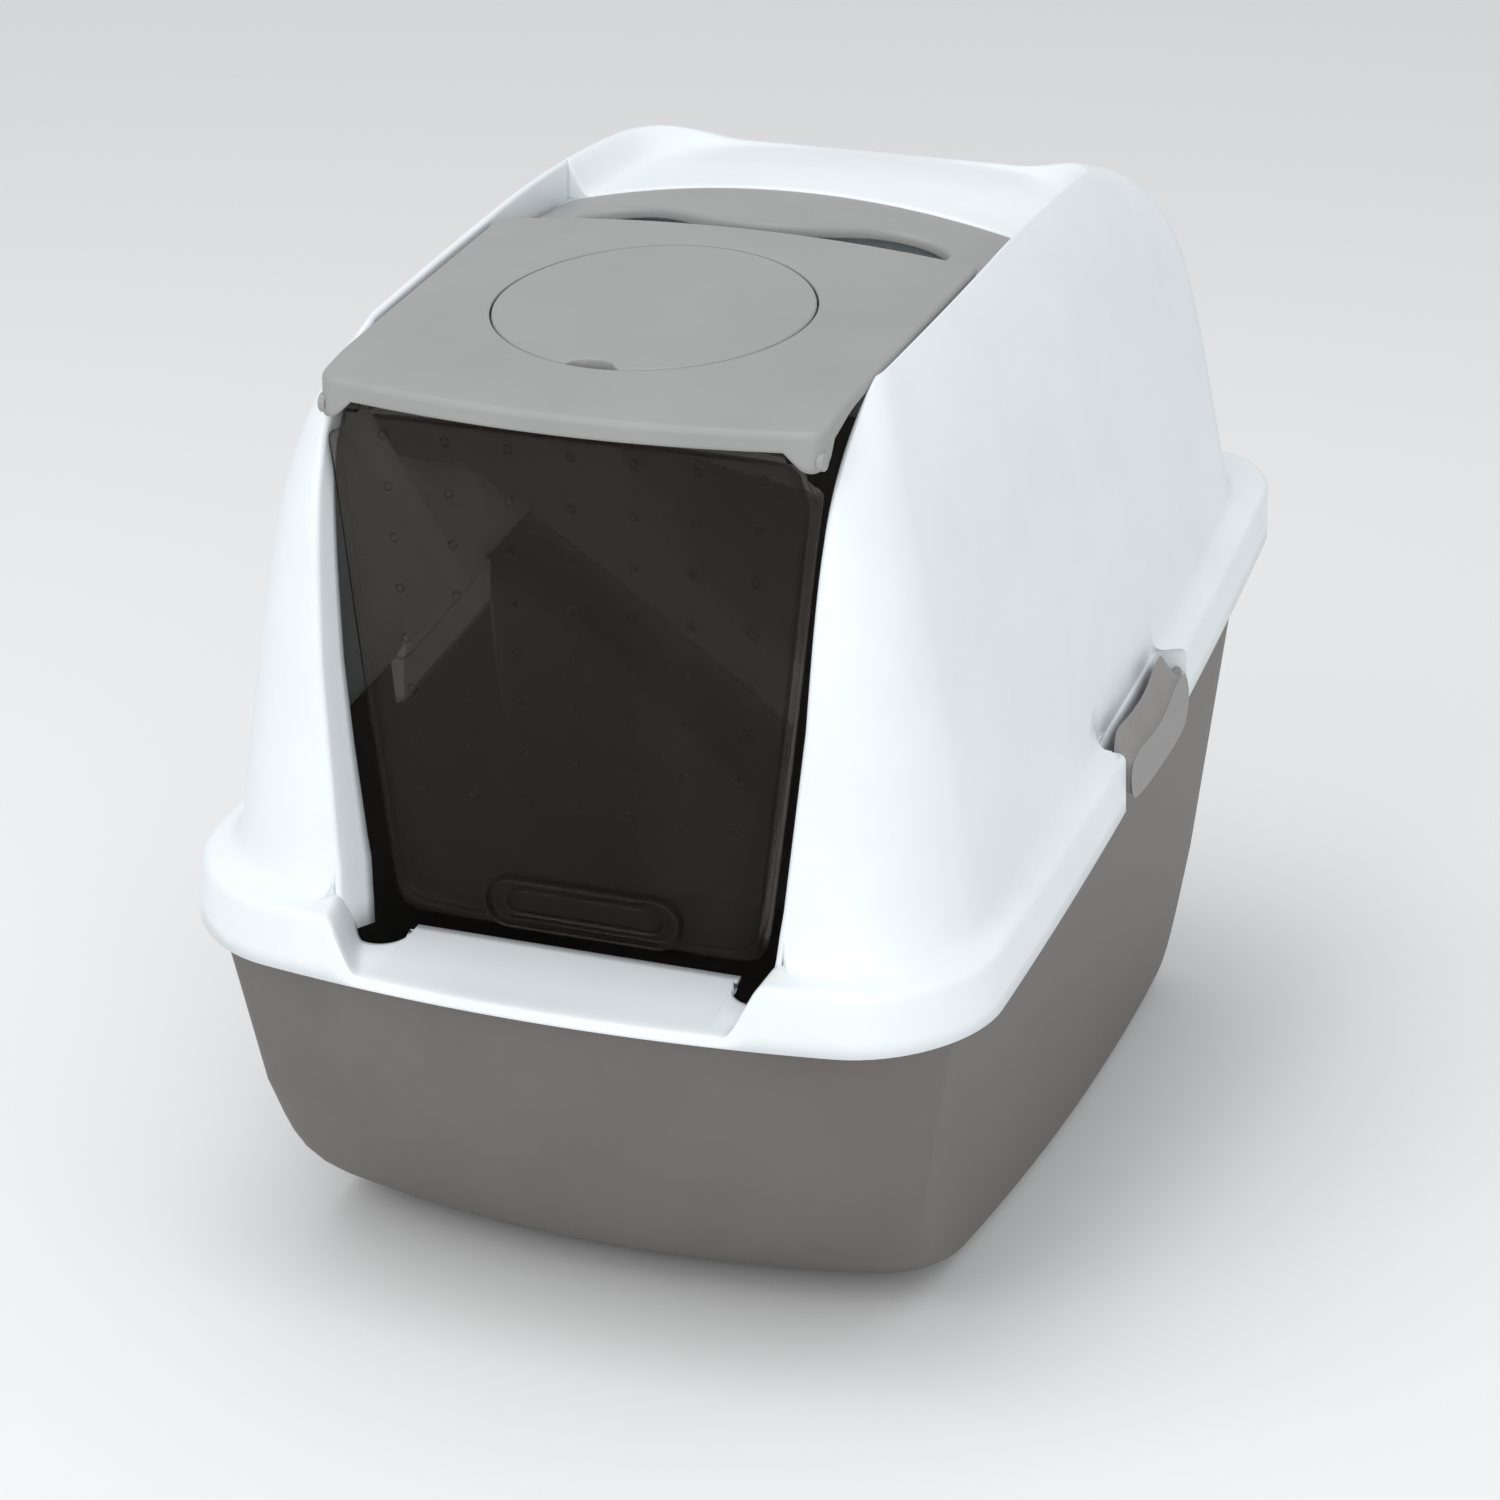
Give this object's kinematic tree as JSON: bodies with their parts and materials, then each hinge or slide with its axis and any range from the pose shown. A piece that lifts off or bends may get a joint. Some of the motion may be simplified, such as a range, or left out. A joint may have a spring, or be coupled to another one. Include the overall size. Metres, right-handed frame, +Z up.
{
  "type": "hooded cat litter box",
  "caption": "Hooded cat litter box: deep pan, lift-off hood with side latches, hinged top lid with clear swing door, carbon filter and carrying grip.",
  "frame": {"origin": "centre of the outer box's underside, on the floor", "axes": "+Z up, +Y from the entrance to the rear, +X to the right as seen from the entrance"},
  "size_m": [0.39, 0.57, 0.4648],
  "materials": {
    "pan_plastic": "fine-grained moulded polypropylene, warm dark grey",
    "hood_plastic": "satin moulded polypropylene, cool white",
    "grey_plastic": "satin moulded polypropylene, mid grey",
    "tray_plastic": "moulded polypropylene, mid grey",
    "filter_fabric": "open carbon-loaded foam",
    "clear_plastic": "smoke-tinted clear polystyrene, polished",
    "latch_plastic": "moulded polypropylene, mid grey"
  },
  "bodies": {
    "base": {"litter_pan": "pan_plastic"},
    "hood": {"hood_shell": "hood_plastic", "carry_handle": "grey_plastic"},
    "lid": {"top_lid": "grey_plastic", "filter_tray": "tray_plastic"},
    "door": {"swing_door": "clear_plastic"},
    "cover": {"filter_cover": "grey_plastic"},
    "filter": {"carbon_filter": "filter_fabric"},
    "latch_left": {"left_latch": "latch_plastic"},
    "latch_right": {"right_latch": "latch_plastic"}
  },
  "joints": [
    {"name": "hood_lift", "type": "slide", "parent": "base", "child": "hood", "axis": [0, 0, 1], "range_m": [0, 0.3]},
    {"name": "lid_hinge", "type": "hinge", "parent": "hood", "child": "lid", "pos_m": [0, -0.05, 0.4505], "axis": [-1, 0, 0], "range_deg": [0, 90]},
    {"name": "door_hinge", "type": "hinge", "parent": "lid", "child": "door", "pos_m": [0, -0.2435, 0.416], "axis": [1, 0, 0], "range_deg": [-60, 65]},
    {"name": "cover_lift", "type": "slide", "parent": "lid", "child": "cover", "axis": [0, -0.1172, 0.9931], "range_m": [0, 0.04]},
    {"name": "filter_lift", "type": "slide", "parent": "lid", "child": "filter", "axis": [0, -0.1172, 0.9931], "range_m": [0, 0.02]},
    {"name": "left_latch_hinge", "type": "hinge", "parent": "hood", "child": "latch_left", "pos_m": [-0.1885, 0.02679, 0.22289], "axis": [0, 0.9849, 0.1733], "range_deg": [0, 25]},
    {"name": "right_latch_hinge", "type": "hinge", "parent": "hood", "child": "latch_right", "pos_m": [0.1885, 0.02679, 0.22289], "axis": [0, -0.9849, -0.1733], "range_deg": [0, 25]}
  ],
  "couplings": [
    {"joint": "filter_lift", "follows": "cover_lift", "ratio": 0.5}
  ]
}
